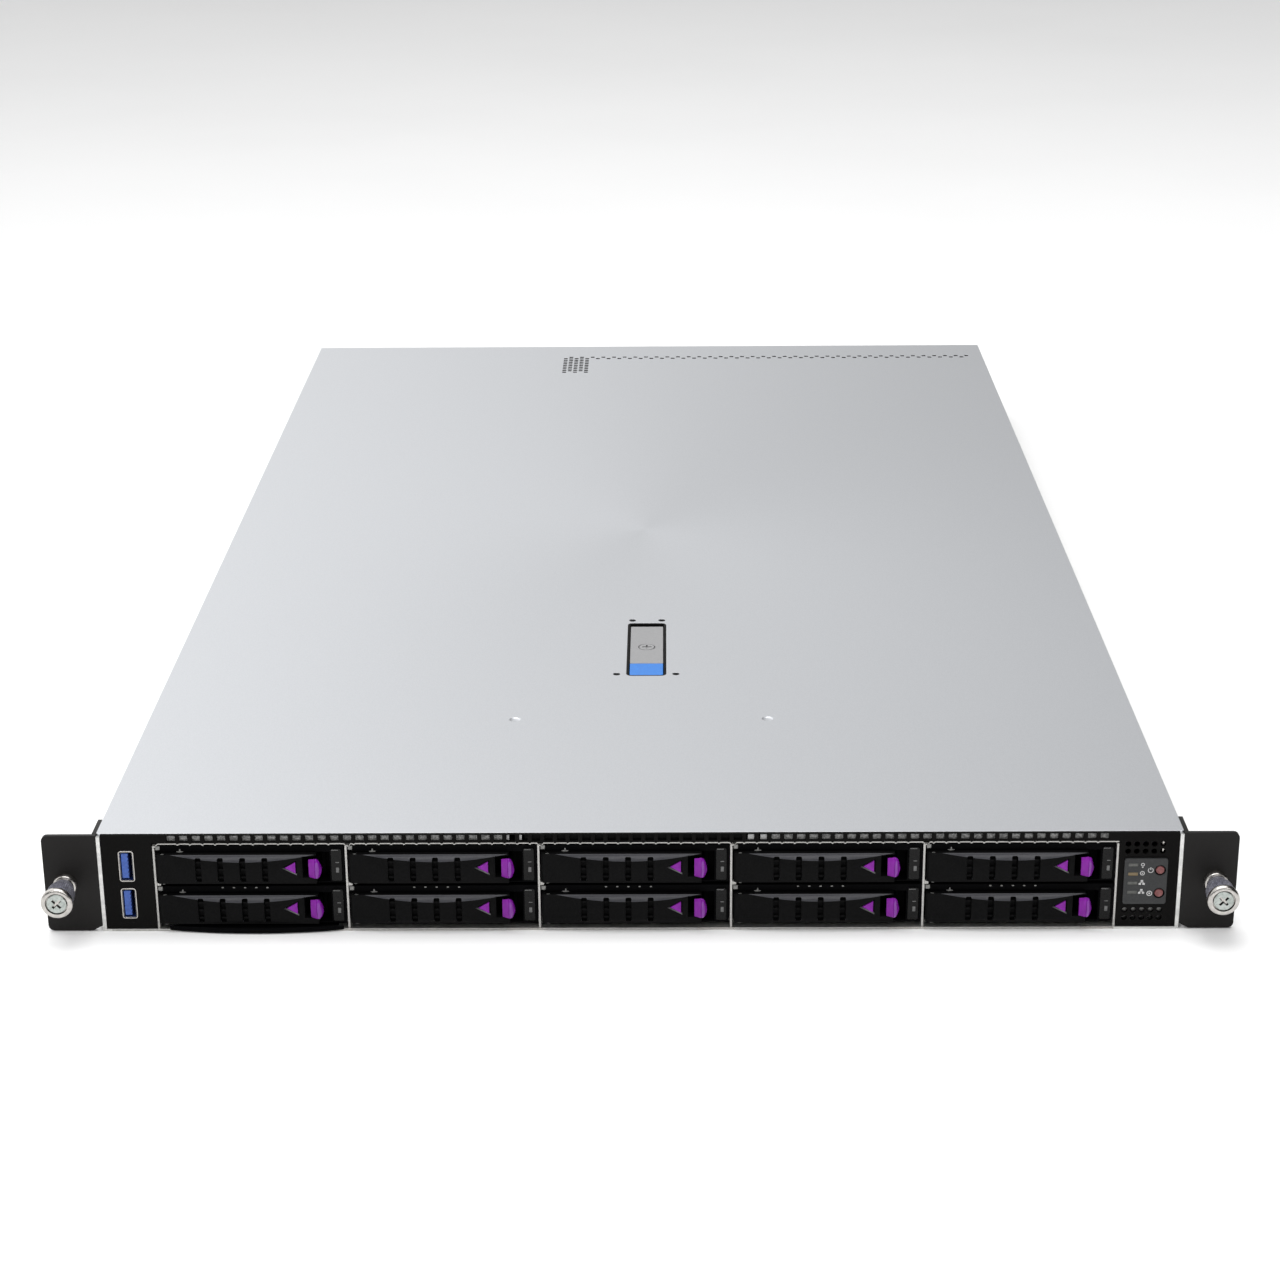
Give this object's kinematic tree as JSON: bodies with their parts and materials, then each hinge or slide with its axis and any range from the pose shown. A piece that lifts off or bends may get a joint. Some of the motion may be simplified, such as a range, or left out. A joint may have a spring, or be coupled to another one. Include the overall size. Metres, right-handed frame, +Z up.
{
  "type": "1u rack server",
  "caption": "Low rack-mount server with hot-swap drives in front, rack ears with thumbscrews, lift-off top cover, fans, boards and two slide-in power supplies.",
  "frame": {"origin": "middle of the chassis underside", "axes": "+X to the right as seen from the front, +Y from the front to the rear, +Z up"},
  "size_m": [0.4826, 0.8126, 0.0432],
  "materials": {
    "zinc_steel": "zinc-plated sheet, satin",
    "cover_steel": "pale satin sheet with a fine grain",
    "black_plastic": "moulded, matte",
    "latch_grey": "moulded, matte",
    "latch_blue": "moulded, matte",
    "lock_grey": "moulded, satin",
    "black_paint": "powder coat, satin",
    "bright_nickel": "nickel plate, polished",
    "panel_grey": "film overlay, satin",
    "button_red_brown": "moulded, satin",
    "board_green": "solder resist, satin",
    "fan_black": "moulded, matte",
    "sink_aluminium": "extruded, satin",
    "memory_green": "solder resist, satin",
    "psu_metal": "plated sheet, satin",
    "carrier_black": "moulded, matte",
    "lever_charcoal": "moulded, satin",
    "release_purple": "moulded, glossy"
  },
  "bodies": {
    "chassis": {"chassis_base": "zinc_steel", "front_frame": "black_paint", "usb_ports": "bright_nickel", "control_panel": "panel_grey", "rack_ears": "black_paint", "ear_ferrules": "bright_nickel", "drive_cage": "zinc_steel", "drive_backplane": "board_green", "fan_frames": "fan_black", "motherboard": "board_green", "heat_sinks": "sink_aluminium", "memory_modules": "memory_green"},
    "cover": {"top_cover": "cover_steel", "latch_housing": "black_plastic"},
    "latch_handle": {"latch_handle": "latch_grey"},
    "latch_release": {"latch_release": "latch_blue"},
    "latch_lock": {"latch_lock": "lock_grey"},
    "power_button": {"power_button": "button_red_brown"},
    "id_button": {"id_button": "button_red_brown"},
    "thumbscrew_left": {"thumbscrew_left": "bright_nickel"},
    "thumbscrew_right": {"thumbscrew_right": "bright_nickel"},
    "info_tag": {"info_tag": "black_plastic"},
    "psu_1": {"psu_1": "psu_metal"},
    "psu_2": {"psu_2": "psu_metal"},
    "fan_rotor_1": {"fan_rotor_1": "fan_black"},
    "fan_rotor_2": {"fan_rotor_2": "fan_black"},
    "fan_rotor_3": {"fan_rotor_3": "fan_black"},
    "fan_rotor_4": {"fan_rotor_4": "fan_black"},
    "fan_rotor_5": {"fan_rotor_5": "fan_black"},
    "fan_rotor_6": {"fan_rotor_6": "fan_black"},
    "drive_carrier_01": {"drive_carrier_01": "carrier_black"},
    "drive_lever_01": {"drive_lever_01": "lever_charcoal"},
    "drive_release_01": {"drive_release_01": "release_purple"},
    "drive_carrier_02": {"drive_carrier_02": "carrier_black"},
    "drive_lever_02": {"drive_lever_02": "lever_charcoal"},
    "drive_release_02": {"drive_release_02": "release_purple"},
    "drive_carrier_03": {"drive_carrier_03": "carrier_black"},
    "drive_lever_03": {"drive_lever_03": "lever_charcoal"},
    "drive_release_03": {"drive_release_03": "release_purple"},
    "drive_carrier_04": {"drive_carrier_04": "carrier_black"},
    "drive_lever_04": {"drive_lever_04": "lever_charcoal"},
    "drive_release_04": {"drive_release_04": "release_purple"},
    "drive_carrier_05": {"drive_carrier_05": "carrier_black"},
    "drive_lever_05": {"drive_lever_05": "lever_charcoal"},
    "drive_release_05": {"drive_release_05": "release_purple"},
    "drive_carrier_06": {"drive_carrier_06": "carrier_black"},
    "drive_lever_06": {"drive_lever_06": "lever_charcoal"},
    "drive_release_06": {"drive_release_06": "release_purple"},
    "drive_carrier_07": {"drive_carrier_07": "carrier_black"},
    "drive_lever_07": {"drive_lever_07": "lever_charcoal"},
    "drive_release_07": {"drive_release_07": "release_purple"},
    "drive_carrier_08": {"drive_carrier_08": "carrier_black"},
    "drive_lever_08": {"drive_lever_08": "lever_charcoal"},
    "drive_release_08": {"drive_release_08": "release_purple"},
    "drive_carrier_09": {"drive_carrier_09": "carrier_black"},
    "drive_lever_09": {"drive_lever_09": "lever_charcoal"},
    "drive_release_09": {"drive_release_09": "release_purple"},
    "drive_carrier_10": {"drive_carrier_10": "carrier_black"},
    "drive_lever_10": {"drive_lever_10": "lever_charcoal"},
    "drive_release_10": {"drive_release_10": "release_purple"}
  },
  "joints": [
    {"name": "cover_lift", "type": "slide", "parent": "chassis", "child": "cover", "axis": [0, 0, 1], "range_m": [0, 0.3]},
    {"name": "latch_handle_hinge", "type": "hinge", "parent": "cover", "child": "latch_handle", "pos_m": [0.0019, -0.1472, 0.0403], "axis": [-1, 0, 0], "range_deg": [0, 80]},
    {"name": "latch_release_press", "type": "slide", "parent": "cover", "child": "latch_release", "axis": [0, 0, -1], "range_m": [0, 0.0012], "stiffness_N_per_m": 400, "springref_m": -0.001},
    {"name": "latch_lock_turn", "type": "hinge", "parent": "latch_handle", "child": "latch_lock", "pos_m": [0.0019, -0.1745, 0.0429], "axis": [0, 0, 1], "range_deg": [0, 90]},
    {"name": "power_button_press", "type": "slide", "parent": "chassis", "child": "power_button", "axis": [0, 1, 0], "range_m": [0, 0.0008], "stiffness_N_per_m": 400, "springref_m": -0.001},
    {"name": "id_button_press", "type": "slide", "parent": "chassis", "child": "id_button", "axis": [0, 1, 0], "range_m": [0, 0.0008], "stiffness_N_per_m": 400, "springref_m": -0.001},
    {"name": "thumbscrew_left_spin", "type": "hinge", "parent": "chassis", "child": "thumbscrew_left", "pos_m": [-0.23255, -0.385, 0.0216], "axis": [0, 1, 0], "continuous": true},
    {"name": "thumbscrew_right_spin", "type": "hinge", "parent": "chassis", "child": "thumbscrew_right", "pos_m": [0.23255, -0.385, 0.0216], "axis": [0, 1, 0], "continuous": true},
    {"name": "info_tag_slide", "type": "slide", "parent": "chassis", "child": "info_tag", "axis": [0, -1, 0], "range_m": [0, 0.055]},
    {"name": "psu_1_slide", "type": "slide", "parent": "chassis", "child": "psu_1", "axis": [0, 1, 0], "range_m": [0, 0.2]},
    {"name": "psu_2_slide", "type": "slide", "parent": "chassis", "child": "psu_2", "axis": [0, 1, 0], "range_m": [0, 0.2]},
    {"name": "fan_1_spin", "type": "hinge", "parent": "chassis", "child": "fan_rotor_1", "pos_m": [-0.165, -0.233, 0.021], "axis": [0, 1, 0], "continuous": true},
    {"name": "fan_2_spin", "type": "hinge", "parent": "chassis", "child": "fan_rotor_2", "pos_m": [-0.099, -0.233, 0.021], "axis": [0, 1, 0], "continuous": true},
    {"name": "fan_3_spin", "type": "hinge", "parent": "chassis", "child": "fan_rotor_3", "pos_m": [-0.033, -0.233, 0.021], "axis": [0, 1, 0], "continuous": true},
    {"name": "fan_4_spin", "type": "hinge", "parent": "chassis", "child": "fan_rotor_4", "pos_m": [0.033, -0.233, 0.021], "axis": [0, 1, 0], "continuous": true},
    {"name": "fan_5_spin", "type": "hinge", "parent": "chassis", "child": "fan_rotor_5", "pos_m": [0.099, -0.233, 0.021], "axis": [0, 1, 0], "continuous": true},
    {"name": "fan_6_spin", "type": "hinge", "parent": "chassis", "child": "fan_rotor_6", "pos_m": [0.165, -0.233, 0.021], "axis": [0, 1, 0], "continuous": true},
    {"name": "drive_01_slide", "type": "slide", "parent": "chassis", "child": "drive_carrier_01", "axis": [0, -1, 0], "range_m": [0, 0.13]},
    {"name": "drive_01_lever_hinge", "type": "hinge", "parent": "drive_carrier_01", "child": "drive_lever_01", "pos_m": [-0.1926, -0.3854, 0.0285], "axis": [0, 0, -1], "range_deg": [0, 60]},
    {"name": "drive_01_release_press", "type": "slide", "parent": "drive_carrier_01", "child": "drive_release_01", "axis": [-1, 0, 0], "range_m": [0, 0.002], "stiffness_N_per_m": 300, "springref_m": -0.001},
    {"name": "drive_02_slide", "type": "slide", "parent": "chassis", "child": "drive_carrier_02", "axis": [0, -1, 0], "range_m": [0, 0.13]},
    {"name": "drive_02_lever_hinge", "type": "hinge", "parent": "drive_carrier_02", "child": "drive_lever_02", "pos_m": [-0.1148, -0.3854, 0.0285], "axis": [0, 0, -1], "range_deg": [0, 60]},
    {"name": "drive_02_release_press", "type": "slide", "parent": "drive_carrier_02", "child": "drive_release_02", "axis": [-1, 0, 0], "range_m": [0, 0.002], "stiffness_N_per_m": 300, "springref_m": -0.001},
    {"name": "drive_03_slide", "type": "slide", "parent": "chassis", "child": "drive_carrier_03", "axis": [0, -1, 0], "range_m": [0, 0.13]},
    {"name": "drive_03_lever_hinge", "type": "hinge", "parent": "drive_carrier_03", "child": "drive_lever_03", "pos_m": [-0.037, -0.3854, 0.0285], "axis": [0, 0, -1], "range_deg": [0, 60]},
    {"name": "drive_03_release_press", "type": "slide", "parent": "drive_carrier_03", "child": "drive_release_03", "axis": [-1, 0, 0], "range_m": [0, 0.002], "stiffness_N_per_m": 300, "springref_m": -0.001},
    {"name": "drive_04_slide", "type": "slide", "parent": "chassis", "child": "drive_carrier_04", "axis": [0, -1, 0], "range_m": [0, 0.13]},
    {"name": "drive_04_lever_hinge", "type": "hinge", "parent": "drive_carrier_04", "child": "drive_lever_04", "pos_m": [0.0408, -0.3854, 0.0285], "axis": [0, 0, -1], "range_deg": [0, 60]},
    {"name": "drive_04_release_press", "type": "slide", "parent": "drive_carrier_04", "child": "drive_release_04", "axis": [-1, 0, 0], "range_m": [0, 0.002], "stiffness_N_per_m": 300, "springref_m": -0.001},
    {"name": "drive_05_slide", "type": "slide", "parent": "chassis", "child": "drive_carrier_05", "axis": [0, -1, 0], "range_m": [0, 0.13]},
    {"name": "drive_05_lever_hinge", "type": "hinge", "parent": "drive_carrier_05", "child": "drive_lever_05", "pos_m": [0.1186, -0.3854, 0.0285], "axis": [0, 0, -1], "range_deg": [0, 60]},
    {"name": "drive_05_release_press", "type": "slide", "parent": "drive_carrier_05", "child": "drive_release_05", "axis": [-1, 0, 0], "range_m": [0, 0.002], "stiffness_N_per_m": 300, "springref_m": -0.001},
    {"name": "drive_06_slide", "type": "slide", "parent": "chassis", "child": "drive_carrier_06", "axis": [0, -1, 0], "range_m": [0, 0.13]},
    {"name": "drive_06_lever_hinge", "type": "hinge", "parent": "drive_carrier_06", "child": "drive_lever_06", "pos_m": [-0.1926, -0.3854, 0.0104], "axis": [0, 0, -1], "range_deg": [0, 60]},
    {"name": "drive_06_release_press", "type": "slide", "parent": "drive_carrier_06", "child": "drive_release_06", "axis": [-1, 0, 0], "range_m": [0, 0.002], "stiffness_N_per_m": 300, "springref_m": -0.001},
    {"name": "drive_07_slide", "type": "slide", "parent": "chassis", "child": "drive_carrier_07", "axis": [0, -1, 0], "range_m": [0, 0.13]},
    {"name": "drive_07_lever_hinge", "type": "hinge", "parent": "drive_carrier_07", "child": "drive_lever_07", "pos_m": [-0.1148, -0.3854, 0.0104], "axis": [0, 0, -1], "range_deg": [0, 60]},
    {"name": "drive_07_release_press", "type": "slide", "parent": "drive_carrier_07", "child": "drive_release_07", "axis": [-1, 0, 0], "range_m": [0, 0.002], "stiffness_N_per_m": 300, "springref_m": -0.001},
    {"name": "drive_08_slide", "type": "slide", "parent": "chassis", "child": "drive_carrier_08", "axis": [0, -1, 0], "range_m": [0, 0.13]},
    {"name": "drive_08_lever_hinge", "type": "hinge", "parent": "drive_carrier_08", "child": "drive_lever_08", "pos_m": [-0.037, -0.3854, 0.0104], "axis": [0, 0, -1], "range_deg": [0, 60]},
    {"name": "drive_08_release_press", "type": "slide", "parent": "drive_carrier_08", "child": "drive_release_08", "axis": [-1, 0, 0], "range_m": [0, 0.002], "stiffness_N_per_m": 300, "springref_m": -0.001},
    {"name": "drive_09_slide", "type": "slide", "parent": "chassis", "child": "drive_carrier_09", "axis": [0, -1, 0], "range_m": [0, 0.13]},
    {"name": "drive_09_lever_hinge", "type": "hinge", "parent": "drive_carrier_09", "child": "drive_lever_09", "pos_m": [0.0408, -0.3854, 0.0104], "axis": [0, 0, -1], "range_deg": [0, 60]},
    {"name": "drive_09_release_press", "type": "slide", "parent": "drive_carrier_09", "child": "drive_release_09", "axis": [-1, 0, 0], "range_m": [0, 0.002], "stiffness_N_per_m": 300, "springref_m": -0.001},
    {"name": "drive_10_slide", "type": "slide", "parent": "chassis", "child": "drive_carrier_10", "axis": [0, -1, 0], "range_m": [0, 0.13]},
    {"name": "drive_10_lever_hinge", "type": "hinge", "parent": "drive_carrier_10", "child": "drive_lever_10", "pos_m": [0.1186, -0.3854, 0.0104], "axis": [0, 0, -1], "range_deg": [0, 60]},
    {"name": "drive_10_release_press", "type": "slide", "parent": "drive_carrier_10", "child": "drive_release_10", "axis": [-1, 0, 0], "range_m": [0, 0.002], "stiffness_N_per_m": 300, "springref_m": -0.001}
  ]
}
